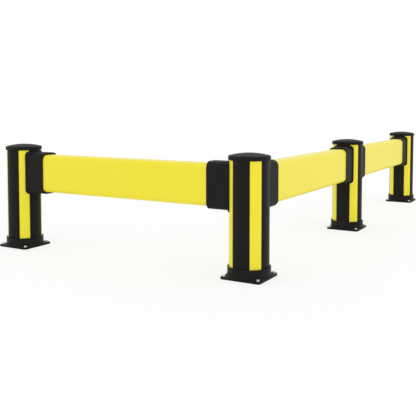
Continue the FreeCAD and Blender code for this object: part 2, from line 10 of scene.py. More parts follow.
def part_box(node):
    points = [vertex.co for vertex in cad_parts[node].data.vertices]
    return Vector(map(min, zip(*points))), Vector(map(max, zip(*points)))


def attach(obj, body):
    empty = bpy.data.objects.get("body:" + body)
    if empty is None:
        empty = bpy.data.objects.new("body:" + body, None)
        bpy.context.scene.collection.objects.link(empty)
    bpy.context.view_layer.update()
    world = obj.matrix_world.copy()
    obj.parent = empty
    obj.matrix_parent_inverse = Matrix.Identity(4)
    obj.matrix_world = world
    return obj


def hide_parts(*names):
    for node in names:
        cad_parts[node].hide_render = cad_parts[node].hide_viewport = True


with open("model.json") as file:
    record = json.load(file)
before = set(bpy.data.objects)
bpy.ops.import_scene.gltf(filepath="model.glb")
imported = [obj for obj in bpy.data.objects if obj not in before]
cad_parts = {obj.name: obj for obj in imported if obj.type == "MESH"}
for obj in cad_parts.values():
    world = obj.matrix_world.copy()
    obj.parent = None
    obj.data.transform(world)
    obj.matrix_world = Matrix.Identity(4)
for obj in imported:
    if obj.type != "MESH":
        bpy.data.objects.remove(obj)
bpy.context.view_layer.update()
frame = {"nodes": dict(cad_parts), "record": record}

bl_info = {
    "name": "Crash Barrier",
    "version": (1, 0, 0),
    "blender": (4, 5, 0),
    "location": "View3D > Sidebar > Crash Barrier",
    "description": "Builds a crash protection barrier of round posts and box rails",
    "category": "Object",
}

POST_NUMBERS = ("1", "2", "3", "4")
RAIL_NUMBERS = ("1", "2", "3")
MM = 0.001

# CAD nodes that keep their shapes and only get a finish.
KEPT_NODES = ("rail_socket", "socket_bolts", "nut_plate", "spigot_tube", "clamp_disc", "tie_bolt")

# Where the strips stand round a post, in degrees from the X axis.
STRIP_TURNS = (45, 135, 225, 315)

# How finely curves are drawn: facets round a turned piece or for each ripple of a weld, degrees from point
# to point on an arc, and steps in the rounding of a sawn end. Corners up to SMALL_CORNER are coarse.
CAP_FACETS = 160
COLLAR_FACETS = 144
SCREW_FACETS = 36
RIPPLE_FACETS = 6
FINE_STEP = 4
COARSE_STEP = 15
SMALL_CORNER = 5 * MM
EASE_STEPS = 3

# Edges that bend by more than this many degrees stay sharp.
CREASE = 40
POST_CREASE = 25
SCREW_CREASE = 28


def box_of(node):
    """Lowest corner, highest corner and middle of a CAD node."""
    low, high = (Vector(corner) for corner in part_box(node))
    return low, high, (low + high) / 2


POST_AT = {number: box_of(f"post_tube_{number}")[2].xy for number in POST_NUMBERS}

# All posts are alike, so the corner post, number 2, gives their sizes.
TUBE_LOW, TUBE_HIGH, _ = box_of("post_tube_2")
PLATE_LOW, PLATE_HIGH, _ = box_of("base_plate_2")
POST_RADIUS = (TUBE_HIGH.x - TUBE_LOW.x) / 2

# The screws of a foot, 73 mm from the post's axis along X and along Y.
ANCHOR_REACH = 73 * MM
ANCHOR_PLACES = [(x, y) for x in (-ANCHOR_REACH, ANCHOR_REACH) for y in (-ANCHOR_REACH, ANCHOR_REACH)]


# Colours and materials
def linear(text):
    """A colour written as sRGB hex, in the linear values that shaders use, with an alpha of 1."""
    parts = [int(text[start:start + 2], 16) / 255 for start in (1, 3, 5)]
    straight = [part / 12.92 if part <= 0.04045 else ((part + 0.055) / 1.055) ** 2.4 for part in parts]
    return (*straight, 1.0)


def node(tree, kind, place=(0, 0), settings=None, inputs=None):
    """Adds a node with its settings, and sets or links its inputs."""
    made = tree.nodes.new(kind)
    made.location = place
    for name, value in (settings or {}).items():
        setattr(made, name, value)
    for name, value in (inputs or {}).items():
        if isinstance(value, bpy.types.NodeSocket):
            tree.links.new(value, made.inputs[name])
        else:
            made.inputs[name].default_value = value
    return made


def new_material(name):
    """An empty node material and its tree."""
    material = bpy.data.materials.new(name)
    material.use_nodes = True
    material.node_tree.nodes.clear()
    return material, material.node_tree


def close_material(tree, surface):
    """Joins the last shader to the material's output."""
    node(tree, "ShaderNodeOutputMaterial", (900, 0), inputs={"Surface": surface})


def tint_of(tree, texture, colour, other):
    """A colour that wanders to another with a texture."""
    mix = node(tree, "ShaderNodeMix", (-400, 0), settings={"data_type": "RGBA"}, inputs={
        "Factor": texture, "A": colour, "B": other})
    return mix.outputs["Result"]


def gloss_of(tree, texture, roughness, spread):
    """A roughness that wanders to both sides of its middle with a texture."""
    # Most of a noise lies between 0.3 and 0.7.
    spreading = node(tree, "ShaderNodeMapRange", (-400, 250), inputs={
        "Value": texture, "From Min": 0.3, "From Max": 0.7,
        "To Min": roughness - spread, "To Max": roughness + spread})
    return spreading.outputs["Result"]


def relief_of(tree, texture, strength, height):
    """The fine relief of a skin, as high as the given height at full strength."""
    bump = node(tree, "ShaderNodeBump", (-400, -300), inputs={
        "Height": texture, "Strength": strength, "Distance": height})
    return bump.outputs["Normal"]


def close_solid(tree, tint, gloss, relief, constants):
    """Ends a solid's material with one shader, and sets the shader's constants."""
    shader = node(tree, "ShaderNodeBsdfPrincipled", (400, 0), inputs={
        "Base Color": tint, "Roughness": gloss, "Normal": relief, **constants})
    close_material(tree, shader.outputs["BSDF"])


def extruded_plastic(name, colour, deeper, roughness, specular, line_width, line_height):
    """Extruded polyolefin: an even satin skin, drawn into very faint lines along its length by the die.
    The eye gets long soft streaks in the gloss and no grain across them."""
    material, tree = new_material(name)
    place = node(tree, "ShaderNodeTexCoord", (-1100, 0)).outputs["Object"]
    # The lines are as wide as the die's scratches across the section, and 250 times longer.
    stretched = node(tree, "ShaderNodeMapping", (-900, 0), inputs={
        "Vector": place, "Scale": (1 / line_width, 1 / line_width, 1 / (250 * line_width))})
    lines = node(tree, "ShaderNodeTexNoise", (-700, 150), inputs={
        "Vector": stretched.outputs["Vector"], "Scale": 1.0, "Detail": 3.0, "Roughness": 0.6})
    # Pigment is not quite even over patches about 120 mm across.
    patches = node(tree, "ShaderNodeTexNoise", (-700, -200), inputs={
        "Vector": place, "Scale": 1 / (120 * MM), "Detail": 2.0})
    close_solid(
        tree, tint_of(tree, patches.outputs["Fac"], colour, deeper),
        gloss_of(tree, lines.outputs["Fac"], roughness, spread=0.03),
        relief_of(tree, lines.outputs["Fac"], strength=0.4, height=line_height),
        {"IOR": 1.49, "Specular IOR Level": specular, "Metallic": 0.0})
    return material


def moulded_plastic(name, colour, paler, roughness):
    """Injection-moulded glass-filled nylon with a spark-eroded mould texture.
    The eye gets a fine even grain that breaks highlights into a soft sheen."""
    material, tree = new_material(name)
    place = node(tree, "ShaderNodeTexCoord", (-1100, 0)).outputs["Object"]
    # Real grain is about 0.2 mm. It is drawn at 1.2 mm so that it shows.
    grain = node(tree, "ShaderNodeTexVoronoi", (-700, 150), inputs={
        "Vector": place, "Scale": 1 / (1.2 * MM), "Randomness": 1.0})
    # The melt leaves paler and darker streams about 35 mm across.
    flow = node(tree, "ShaderNodeTexNoise", (-700, -150), inputs={
        "Vector": place, "Scale": 1 / (35 * MM), "Detail": 4.0, "Distortion": 0.6})
    close_solid(
        tree, tint_of(tree, flow.outputs["Fac"], colour, paler),
        gloss_of(tree, flow.outputs["Fac"], roughness, spread=0.04),
        relief_of(tree, grain.outputs["Distance"], strength=0.25, height=0.1 * MM),
        {"IOR": 1.53, "Specular IOR Level": 0.075, "Metallic": 0.0})
    return material


def powder_coat(name, colour, paler, roughness):
    """Steel with a black polyester powder coat, baked on.
    The eye gets the slight orange peel of the melted powder and a low satin gloss."""
    material, tree = new_material(name)
    place = node(tree, "ShaderNodeTexCoord", (-1100, 0)).outputs["Object"]
    # The peel's humps are about 2.5 mm across.
    peel = node(tree, "ShaderNodeTexNoise", (-700, 150), inputs={
        "Vector": place, "Scale": 1 / (2.5 * MM), "Detail": 1.0})
    # The coat is a little paler in patches about 40 mm across.
    dust = node(tree, "ShaderNodeTexNoise", (-700, -150), inputs={
        "Vector": place, "Scale": 1 / (40 * MM), "Detail": 5.0, "Roughness": 0.65})
    close_solid(
        tree, tint_of(tree, dust.outputs["Fac"], colour, paler),
        gloss_of(tree, dust.outputs["Fac"], roughness, spread=0.05),
        relief_of(tree, peel.outputs["Fac"], strength=0.3, height=0.15 * MM),
        {"IOR": 1.5, "Specular IOR Level": 0.09, "Metallic": 0.0})
    return material


def plated_steel(name, colour, duller, roughness, bloom):
    """Steel as it leaves the plating bath or the mill.
    The eye gets a bright metal that is clouded here and there by the crystals of its surface."""
    material, tree = new_material(name)
    place = node(tree, "ShaderNodeTexCoord", (-1100, 0)).outputs["Object"]
    clouds = node(tree, "ShaderNodeTexNoise", (-700, 150), inputs={
        "Vector": place, "Scale": 1 / bloom, "Detail": 4.0, "Roughness": 0.6})
    crystals = node(tree, "ShaderNodeTexVoronoi", (-700, -150), inputs={
        "Vector": place, "Scale": 4 / bloom})
    close_solid(
        tree, tint_of(tree, clouds.outputs["Fac"], colour, duller),
        gloss_of(tree, clouds.outputs["Fac"], roughness, spread=0.06),
        relief_of(tree, crystals.outputs["Distance"], strength=0.15, height=0.05 * MM),
        {"Metallic": 1.0})
    return material


FINISHES = {}


def make_finishes(colours):
    """Makes the barrier's materials from the chosen colours."""
    def rgba(name):
        return (*getattr(colours, name), 1.0)

    FINISHES["black_post"] = extruded_plastic(
        "extruded polypropylene, black", rgba("black"), rgba("black_deep"),
        roughness=0.42, specular=0.09, line_width=0.9 * MM, line_height=0.06 * MM)
    FINISHES["yellow_strip"] = extruded_plastic(
        "extruded polypropylene, yellow", rgba("strip_yellow"), rgba("strip_yellow_deep"),
        roughness=0.36, specular=0.5, line_width=0.9 * MM, line_height=0.05 * MM)
    FINISHES["yellow_rail"] = extruded_plastic(
        "extruded polyethylene, yellow", rgba("rail_yellow"), rgba("rail_yellow_deep"),
        roughness=0.33, specular=0.5, line_width=1.6 * MM, line_height=0.08 * MM)
    FINISHES["black_cap"] = moulded_plastic(
        "moulded nylon, black", rgba("black"), rgba("black_pale"), roughness=0.52)
    FINISHES["black_socket"] = FINISHES["black_cap"]
    FINISHES["foot_steel"] = powder_coat(
        "powder-coated steel, black", rgba("black"), rgba("black_pale"), roughness=0.40)
    FINISHES["zinc_steel"] = plated_steel(
        "zinc-plated steel, bright", rgba("zinc"), rgba("zinc_dull"), roughness=0.22, bloom=6 * MM)
    FINISHES["inner_steel"] = plated_steel(
        "mill-finish steel", linear("#8E8C88"), linear("#6E6A64"), roughness=0.5, bloom=25 * MM)


def dress_node(name, slot):
    """Gives a CAD node that stays in view its finish."""
    shown = frame["nodes"][name]
    if not shown.data.materials:
        shown.data.materials.append(None)
    for holder in shown.material_slots:
        holder.material = FINISHES[slot]


# Sizes and colours that a user would change
def colour_of(name, description, text):
    """A colour that is written as sRGB hex and kept in linear values."""
    return FloatVectorProperty(name=name, description=description, subtype="COLOR", size=3,
                               min=0, max=1, default=linear(text)[:3])


def length_of(name, description, millimetres):
    """A length that is written in millimetres and kept in metres."""
    return FloatProperty(name=name, description=description, subtype="DISTANCE", unit="LENGTH",
                         min=0, default=millimetres * MM)


class BarrierColours(bpy.types.PropertyGroup):
    black: colour_of("Black", "Plastic and powder coat of posts, caps, sockets and feet", "#1C1C1B")
    black_deep: colour_of("Black, Deep", "Darker patches of the post's plastic", "#191918")
    black_pale: colour_of("Black, Pale", "Paler patches of moulded and coated pieces", "#1F1F1E")
    rail_yellow: colour_of("Rail Yellow", "Plastic of the rails", "#F4E626")
    rail_yellow_deep: colour_of("Rail Yellow, Deep", "Deeper patches of the rails", "#F2E322")
    strip_yellow: colour_of("Strip Yellow", "Plastic of the strips in the posts", "#F3E526")
    strip_yellow_deep: colour_of("Strip Yellow, Deep", "Deeper patches of the strips", "#F1E222")
    zinc: colour_of("Zinc", "Bright zinc of the floor screws", "#EAEAE6")
    zinc_dull: colour_of("Zinc, Dull", "Clouded zinc of the floor screws", "#D0CFC9")


class BarrierSizes(bpy.types.PropertyGroup):
    rail_corner: length_of("Rail Corner", "Radius of a rail's corners", 24)
    rail_wall: length_of("Rail Wall", "Thickness of a rail's outer wall", 7)
    rail_web: length_of("Rail Web", "Thickness of the two walls inside a rail", 6)
    rail_nook: length_of("Rail Nook", "Radius where an inner wall meets the outer one", 2)
    saw_ease: length_of("Sawn Edge", "Rounding of the sawn ends of rails, posts and strips", 0.5)
    post_wall: length_of("Post Wall", "Thickness of the post's tube", 10)
    strip_half: length_of("Strip Half Width", "Half of a strip's width just below its bevels", 23.62)
    strip_thickness: length_of("Strip Thickness", "Depth of a strip behind the post's face", 5)
    strip_undercut: length_of("Strip Undercut", "How much wider each side of a strip is at its back", 2)
    strip_bevel: length_of("Strip Bevel", "Bevel along the edges of strips and channels", 1.2)
    strip_gap: length_of("Strip Gap", "Clearance between a strip and its channel", 0.2)
    cap_gap: length_of("Cap Gap", "Clearance between a cap's skirt and the post", 0.3)
    cap_wall: length_of("Cap Wall", "Thickness of a cap's skirt", 3.8)
    cap_rise: length_of("Cap Rise", "Height of a cap's dome", 11.5)
    cap_edge: length_of("Cap Edge", "Radius of the edge round a cap", 5)
    cap_rim: length_of("Cap Rim", "Radius of the rim under a cap", 0.8)
    cap_seat: length_of("Cap Seat", "How far a cap's seat lies above the end of the post", 5)
    cap_seat_width: length_of("Cap Seat Width", "Width of the seat inside a cap", 16)
    cap_ceiling: length_of("Cap Ceiling", "Thickness of a cap's dome", 4)
    plate_corner: length_of("Plate Corner", "Radius of a foot plate's corners", 12)
    plate_edge: length_of("Plate Edge", "Rounding of a foot plate's edges", 0.8)
    collar_gap: length_of("Collar Gap", "Clearance between a collar and the post", 0.4)
    collar_wall: length_of("Collar Wall", "Thickness of a collar", 6.3)
    collar_lip: length_of("Collar Lip", "Radius of the edges round the top of a collar", 1.5)
    weld_leg: length_of("Weld Leg", "Height and width of the weld round a collar", 5)
    weld_ripple: length_of("Weld Ripple", "Distance between the ripples of the weld", 2.6)
    weld_relief: length_of("Weld Relief", "Depth of the ripples of the weld", 0.4)
    anchor_hole: length_of("Screw Hole", "Diameter of the holes in a foot plate", 11)
    anchor_flats: length_of("Screw Head", "Width of a floor screw's head across its flats", 13)
    anchor_flange: length_of("Screw Flange", "Diameter of the flange under a floor screw's head", 16)
    anchor_flange_edge: length_of("Screw Flange Edge", "Thickness of the flange at its edge", 1.1)
    anchor_flange_slope: length_of("Screw Flange Slope", "Rise of the flange from edge to head", 0.5)
    anchor_size: length_of("Screw Size", "Diameter of a floor screw over its thread", 8)
    thread_pitch: length_of("Screw Pitch", "Distance between the turns of a floor screw's thread", 6)
    thread_depth: length_of("Screw Thread Depth", "Depth of a floor screw's thread", 0.5)


class StageSizes(bpy.types.PropertyGroup):
    camera_at: FloatVectorProperty(
        name="Camera", description="Where the camera stands",
        subtype="TRANSLATION", unit="LENGTH", size=3, default=(1.1442, -2.3082, 0.6760))
    camera_heading: FloatProperty(
        name="Heading", description="How far the camera looks to the left of the long arm's direction",
        subtype="ANGLE", unit="ROTATION", default=math.radians(29.98))
    camera_dip: FloatProperty(
        name="Dip", description="How far the camera looks down",
        subtype="ANGLE", unit="ROTATION", default=math.radians(3.12))
    lens: FloatProperty(
        name="Lens", description="Focal length on a sensor 36 mm wide", min=10, max=300, default=57.05)
    shift: FloatProperty(
        name="Shift", description="How far the view is raised, as a share of its width. Below 0 lowers it",
        min=-0.5, max=0.5, default=-0.1596)
    side_light: FloatProperty(
        name="Side Light", description="Light from the right, as a share of the light from all round",
        min=0, max=1, default=0.06)
    floor_side: FloatProperty(
        name="Floor", description="Side of the square floor",
        subtype="DISTANCE", unit="LENGTH", min=1, default=60.0)


# Shapes
def arc(across, up, radius, start, end, step=3.0):
    """Points on an arc about (across, up), angles in degrees, both ends included."""
    count = max(1, round(abs(end - start) / step))
    turns = (math.radians(start + (end - start) * index / count) for index in range(count + 1))
    return [(across + radius * math.cos(turn), up + radius * math.sin(turn)) for turn in turns]


def circle(across, up, radius, step):
    """A ring of points, anticlockwise."""
    return arc(across, up, radius, 0, 360 - step, step)


def spun(points, turn):
    """Points turned about the origin by an angle in degrees."""
    cosine, sine = math.cos(math.radians(turn)), math.sin(math.radians(turn))
    return [(x * cosine - y * sine, x * sine + y * cosine) for x, y in points]


def mirrored(points):
    """Points on the other side of the first axis, in reverse order."""
    return [(x, -y) for x, y in reversed(points)]


def rounded_box(low, high, radii):
    """A rectangle from low to high, anticlockwise, with a radius for each corner from the top right on."""
    (left, bottom), (right, top) = low, high
    corners = ((right, top, -1, -1), (left, top, 1, -1), (left, bottom, 1, 1), (right, bottom, -1, 1))
    points = []
    for quarter, ((x, y, inward_x, inward_y), radius) in enumerate(zip(corners, radii)):
        start = 90 * quarter
        step = FINE_STEP if radius > SMALL_CORNER else COARSE_STEP
        points += arc(x + inward_x * radius, y + inward_y * radius, radius, start, start + 90, step)
    return points


def inset(outline, distance):
    """The outline moved to its left by a distance, with its corners kept."""
    least = 0.3  # keeps the point of a very sharp corner from running away
    moved = []
    for index, point in enumerate(outline):
        here = Vector(point)
        into = (here - Vector(outline[index - 1])).normalized()
        away = (Vector(outline[(index + 1) % len(outline)]) - here).normalized()
        along = (into + away).normalized()
        left = Vector((-along.y, along.x))
        moved.append(here + left * distance / max(least, left.dot(Vector((-into.y, into.x)))))
    return moved


def skin(shape, rings, closed=False):
    """Faces between rings of points; a ring of one point is a tip."""
    made = [[shape.verts.new(point) for point in ring] for ring in rings]
    pairs = zip(made, made[1:] + made[:1]) if closed else zip(made, made[1:])
    for near, far in pairs:
        for step in range(max(len(near), len(far))):
            here, after = (near[turn % len(near)] for turn in (step, step + 1))
            below, beyond = (far[turn % len(far)] for turn in (step, step + 1))
            shape.faces.new(list(dict.fromkeys((here, after, beyond, below))))
    return made


def extrude(shape, outlines, low, high, ease):
    """Draws outlines up from low to high, with rounded ends. The first is the outside, the rest holes."""
    turns = [math.radians(90 * step / EASE_STEPS) for step in range(EASE_STEPS + 1)]
    steps = [(ease * (1 - math.sin(turn)), ease * (1 - math.cos(turn))) for turn in turns]
    ends = []
    for index, outline in enumerate(outlines):
        line = outline if index == 0 else outline[::-1]
        levels = [(depth, low + rise) for depth, rise in steps]
        levels += [(depth, high - rise) for depth, rise in reversed(steps)]
        rings = [[(*point, height) for point in inset(line, depth)] for depth, height in levels]
        made = skin(shape, rings)
        ends.append((made[0], made[-1]))
    for rims in zip(*ends):
        pairs = [(rim[index - 1], rim[index]) for rim in rims for index in range(len(rim))]
        edges = [shape.edges.get(pair) for pair in pairs]
        bmesh.ops.triangle_fill(shape, edges=edges, use_beauty=True)


def turned(shape, rings, facets, middle=(0.0, 0.0), closed=False):
    """Turns rings about an upright axis. A ring is (radius, height), or gives both for an angle."""
    drawn = []
    for ring in rings:
        points = []
        for index in range(facets):
            turn = math.tau * index / facets
            radius, height = ring(turn) if callable(ring) else ring
            x, y = middle[0] + radius * math.cos(turn), middle[1] + radius * math.sin(turn)
            points.append((x, y, height))
            if radius == 0:
                break
        drawn.append(points)
    skin(shape, drawn, closed)


def new_piece(name, draw, slot, nodes=(), matrix=None, crease=CREASE):
    """A piece with its mesh, finish and body, in place of the CAD nodes that it stands for."""
    mesh = bpy.data.meshes.new(name)
    shape = bmesh.new()
    draw(shape)
    bmesh.ops.recalc_face_normals(shape, faces=shape.faces)
    shape.to_mesh(mesh)
    shape.free()
    if not mesh.polygons:
        raise RuntimeError(f"{name} has no faces")
    mesh.shade_smooth()
    mesh.set_sharp_from_angle(angle=math.radians(crease))
    mesh.materials.append(FINISHES[slot])
    piece = bpy.data.objects.new(name, mesh)
    if matrix:
        piece.matrix_world = matrix
    bpy.context.scene.collection.objects.link(piece)
    even = piece.modifiers.new("flat faces stay flat", "WEIGHTED_NORMAL")
    even.keep_sharp = True
    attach(piece, "root")
    if nodes:
        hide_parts(*nodes)


def at_post(number):
    """The place of a post's axis on the floor."""
    return Matrix.Translation((*POST_AT[number], 0))


# Operators
class BARRIER_OT_rails(bpy.types.Operator):
    """Builds the hollow rails, three cells high"""
    bl_idname = "barrier.rails"
    bl_label = "Rails"

    def execute(self, context):
        sizes = context.scene.barrier_sizes
        for number in RAIL_NUMBERS:
            low, high, middle = box_of(f"rail_{number}")
            along = Vector((1, 0, 0)) if high.x - low.x > high.y - low.y else Vector((0, 1, 0))
            up = Vector((0, 0, 1))
            across = up.cross(along)
            length = (high - low).dot(along)
            width, height = abs((high - low).dot(across)), high.z - low.z
            matrix = Matrix((across, up, along)).transposed().to_4x4()
            matrix.translation = middle - along * length / 2

            half_width, half_height = width / 2, height / 2
            outside = rounded_box(
                (-half_width, -half_height), (half_width, half_height), [sizes.rail_corner] * 4)
            side, top = half_width - sizes.rail_wall, half_height - sizes.rail_wall
            bend, nook = sizes.rail_corner - sizes.rail_wall, sizes.rail_nook

            # The two webs part the inside into three cells, the middle one a little less high.
            level, half = top / 3, sizes.rail_web / 2
            cells = [
                rounded_box((-side, level + half), (side, top), [bend, bend, nook, nook]),
                rounded_box((-side, half - level), (side, level - half), [nook] * 4),
                rounded_box((-side, -top), (side, -level - half), [nook, nook, bend, bend])]
            new_piece(f"box_rail_{number}",
                      lambda shape: extrude(shape, [outside, *cells], 0, length, sizes.saw_ease),
                      "yellow_rail", [f"rail_{number}"], matrix)
        return {"FINISHED"}


class BARRIER_OT_posts(bpy.types.Operator):
    """Builds the post extrusions with their dovetailed channels, and the strips in them"""
    bl_idname = "barrier.posts"
    bl_label = "Posts and Strips"

    def side(self, sizes, gap, bevel):
        """One side of a dovetail about the first axis, from its back to its face, wider by the gap."""
        waist = sizes.strip_half + gap
        back, mouth = waist + sizes.strip_undercut, waist + bevel
        return [(math.sqrt((POST_RADIUS - sizes.strip_thickness - gap) ** 2 - back ** 2), back),
                (math.sqrt((POST_RADIUS - sizes.strip_bevel) ** 2 - waist ** 2), waist),
                (math.sqrt(POST_RADIUS ** 2 - mouth ** 2), mouth)]

    def tube(self, sizes):
        """The outline of the post with its channels, anticlockwise."""
        side = self.side(sizes, sizes.strip_gap, sizes.strip_bevel)
        back, mouth = (math.degrees(math.atan2(y, x)) for x, y in (side[0], side[-1]))
        floor = arc(0, 0, POST_RADIUS - sizes.strip_thickness - sizes.strip_gap, -back, back)
        land = arc(0, 0, POST_RADIUS, mouth, 90 - mouth, step=2)
        quarter = mirrored(side)[:-1] + floor + side[1:-1] + land[:-1]
        return [point for turn in STRIP_TURNS for point in spun(quarter, turn)]

    def strip(self, sizes):
        """The outline of a strip about the first axis, anticlockwise."""
        side = self.side(sizes, 0, -sizes.strip_bevel)
        back, face = (math.degrees(math.atan2(y, x)) for x, y in (side[0], side[-1]))
        return (arc(0, 0, POST_RADIUS, -face, face, step=1.5) + side[1:-1]
                + arc(0, 0, POST_RADIUS - sizes.strip_thickness, back, -back) + mirrored(side)[1:-1])

    def execute(self, context):
        sizes = context.scene.barrier_sizes
        low, high = TUBE_LOW.z, TUBE_HIGH.z
        outline, strip = self.tube(sizes), self.strip(sizes)
        bore = circle(0, 0, POST_RADIUS - sizes.post_wall, step=3)
        strip_top = box_of("highlight_strips_2")[1].z

        def draw_strips(shape):
            for turn in STRIP_TURNS:
                extrude(shape, [spun(strip, turn)], low, strip_top, sizes.saw_ease)

        for number in POST_NUMBERS:
            new_piece(f"post_{number}",
                      lambda shape: extrude(shape, [outline, bore], low, high, sizes.saw_ease),
                      "black_post", [f"post_tube_{number}"], at_post(number), POST_CREASE)
            new_piece(f"strips_{number}", draw_strips,
                      "yellow_strip", [f"highlight_strips_{number}"], at_post(number), POST_CREASE)
        return {"FINISHED"}


class BARRIER_OT_caps(bpy.types.Operator):
    """Builds the domed caps of the posts"""
    bl_idname = "barrier.caps"
    bl_label = "Caps"

    def execute(self, context):
        sizes = context.scene.barrier_sizes
        low, high, _ = box_of("post_cap_2")
        inner = POST_RADIUS + sizes.cap_gap
        outer = inner + sizes.cap_wall
        skirt, crown, seat = low.z, high.z, TUBE_HIGH.z + sizes.cap_seat
        dome = (outer ** 2 + sizes.cap_rise ** 2) / (2 * sizes.cap_rise)
        heart = crown - dome

        # The arcs of the dome and of the ceiling stop at this angle, just beside their tips on the axis.
        beside_tip = 89.2

        # The rounded edge touches both the dome and the skirt.
        edge, rim = sizes.cap_edge, sizes.cap_rim
        edge_up = heart + math.sqrt((dome - edge) ** 2 - (outer - edge) ** 2)
        lean = math.degrees(math.atan2(edge_up - heart, outer - edge))
        profile = [(0, crown)]
        profile += arc(0, heart, dome, beside_tip, lean, step=0.5)[:-1]
        profile += arc(outer - edge, edge_up, edge, lean, 0, step=6)
        profile += arc(outer - rim, skirt + rim, rim, 0, -90, step=30)
        profile += arc(inner + rim, skirt + rim, rim, 270, 180, step=30)

        # Inside, a flat seat lies over the post's end, and the ceiling follows the dome.
        hollow = inner - sizes.cap_seat_width
        hollow_lean = math.degrees(math.acos(hollow / dome))
        profile += [(inner, seat), (hollow, seat)]
        profile += arc(0, heart - sizes.cap_ceiling, dome, hollow_lean, beside_tip, step=1)
        profile += [(0, crown - sizes.cap_ceiling)]
        for number in POST_NUMBERS:
            new_piece(f"cap_{number}", lambda shape: turned(shape, profile, CAP_FACETS),
                      "black_cap", [f"post_cap_{number}"], at_post(number))
        return {"FINISHED"}


class BARRIER_OT_feet(bpy.types.Operator):
    """Builds the foot plates, their collars and the welds between them"""
    bl_idname = "barrier.feet"
    bl_label = "Feet"

    def execute(self, context):
        sizes = context.scene.barrier_sizes
        half = (PLATE_HIGH.x - PLATE_LOW.x) / 2
        top = PLATE_HIGH.z
        plate = rounded_box((-half, -half), (half, half), [sizes.plate_corner] * 4)
        holes = [circle(x, y, sizes.anchor_hole / 2, step=10) for x, y in ANCHOR_PLACES]

        inner = POST_RADIUS + sizes.collar_gap
        outer = inner + sizes.collar_wall
        rim, lip = box_of("foot_collar_2")[1].z, sizes.collar_lip
        collar = [(inner, top), (outer, top)]
        collar += arc(outer - lip, rim - lip, lip, 0, 90, COARSE_STEP)
        collar += arc(inner + lip, rim - lip, lip, 90, 180, COARSE_STEP)

        # Each ripple of the weld is one drop of the pool. In the middle of the bead it is bent most, by sag
        # in radians of its wave, and the bead's round face is flattened most, by a share of its leg.
        ripples = round(math.tau * outer / sizes.weld_ripple)
        sag, flattening, steps = 1.6, 0.22, 8

        def bead(share):
            def ring(turn):
                lean = math.radians(90 * share)
                crest = math.cos(ripples * turn + sag * math.sin(math.pi * share))
                leg = sizes.weld_leg - sizes.weld_relief * (1 - crest) / 2
                face = leg * (1 - flattening * math.sin(2 * lean))
                return outer + face * math.cos(lean), top + face * math.sin(lean)
            return ring

        # The back of the bead is fused into the collar and the plate, a little short of its edges.
        short, fused = 0.85, 1 * MM
        leg = sizes.weld_leg * short
        beads = [bead(step / steps) for step in range(steps + 1)]
        beads += [(outer - fused, top + leg), (outer - fused, top - fused), (outer + leg, top - fused)]
        for number in POST_NUMBERS:
            new_piece(f"foot_{number}",
                      lambda shape: extrude(shape, [plate, *holes], 0, top, sizes.plate_edge),
                      "foot_steel", [f"base_plate_{number}"], at_post(number))
            new_piece(f"collar_{number}", lambda shape: turned(shape, collar, COLLAR_FACETS, closed=True),
                      "foot_steel", [f"foot_collar_{number}"], at_post(number))
            new_piece(f"weld_{number}",
                      lambda shape: turned(shape, beads, ripples * RIPPLE_FACETS, closed=True),
                      "foot_steel", matrix=at_post(number))
        return {"FINISHED"}


class BARRIER_OT_anchors(bpy.types.Operator):
    """Builds the hexagon-headed floor screws"""
    bl_idname = "barrier.anchors"
    bl_label = "Floor Screws"

    def execute(self, context):
        sizes = context.scene.barrier_sizes
        low, high, _ = box_of("floor_anchors_2")
        point, seat, top = low.z, PLATE_HIGH.z, high.z
        flat, flange, shank = sizes.anchor_flats / 2, sizes.anchor_flange / 2, sizes.anchor_size / 2
        sixth, slope = math.radians(60), math.tan(math.radians(30))

        # The head's top is flat over a share of its half width, and the flange's edge has a bevel of ease.
        flat_share, ease = 0.95, 0.2 * MM
        land = flat_share * flat

        def hexagon(turn):
            return flat / math.cos((turn + sixth / 2) % sixth - sixth / 2)

        def chamfer(turn):
            # The hexagon's corners are turned down by a cone.
            return hexagon(turn), top - (hexagon(turn) - land) * slope

        def foot_of_head(turn):
            return hexagon(turn), seat + sizes.anchor_flange_edge + sizes.anchor_flange_slope

        # Half the thread's ridge is this share of the pitch wide, and a pitch is drawn in so many rings.
        ridge_half, thread_steps = 0.22, 8

        def thread(height):
            def ring(turn):
                share = (turn / math.tau - height / sizes.thread_pitch) % 1
                ridge = max(0.0, 1 - abs(share - 0.5) / ridge_half)
                return shank - (1 - ridge) * sizes.thread_depth, height
            return ring

        # From the top down: head and flange, plain shank, thread and point. The thread starts a neck's
        # length below the floor and ends a lead's length above the tip. The point narrows along the taper.
        neck, lead, taper, tip_rise, tip_share = 2 * MM, 5 * MM, 3 * MM, 0.4 * MM, 0.4
        edge = seat + sizes.anchor_flange_edge
        rings = [(0, top), (land, top), chamfer, foot_of_head]
        rings += [(flange - ease, edge), (flange, edge - ease), (flange, seat), (shank, seat), (shank, 0)]
        start, stop = -neck, point + lead
        count = round((start - stop) / (sizes.thread_pitch / thread_steps))
        rings += [thread(start + (stop - start) * step / count) for step in range(count + 1)]
        core = shank - sizes.thread_depth
        rings += [(core, point + taper), (tip_share * shank, point + tip_rise), (0, point)]

        def draw(shape):
            for place in ANCHOR_PLACES:
                turned(shape, rings, SCREW_FACETS, place)

        for number in POST_NUMBERS:
            new_piece(f"floor_screws_{number}", draw,
                      "zinc_steel", [f"floor_anchors_{number}"], at_post(number), SCREW_CREASE)
        return {"FINISHED"}


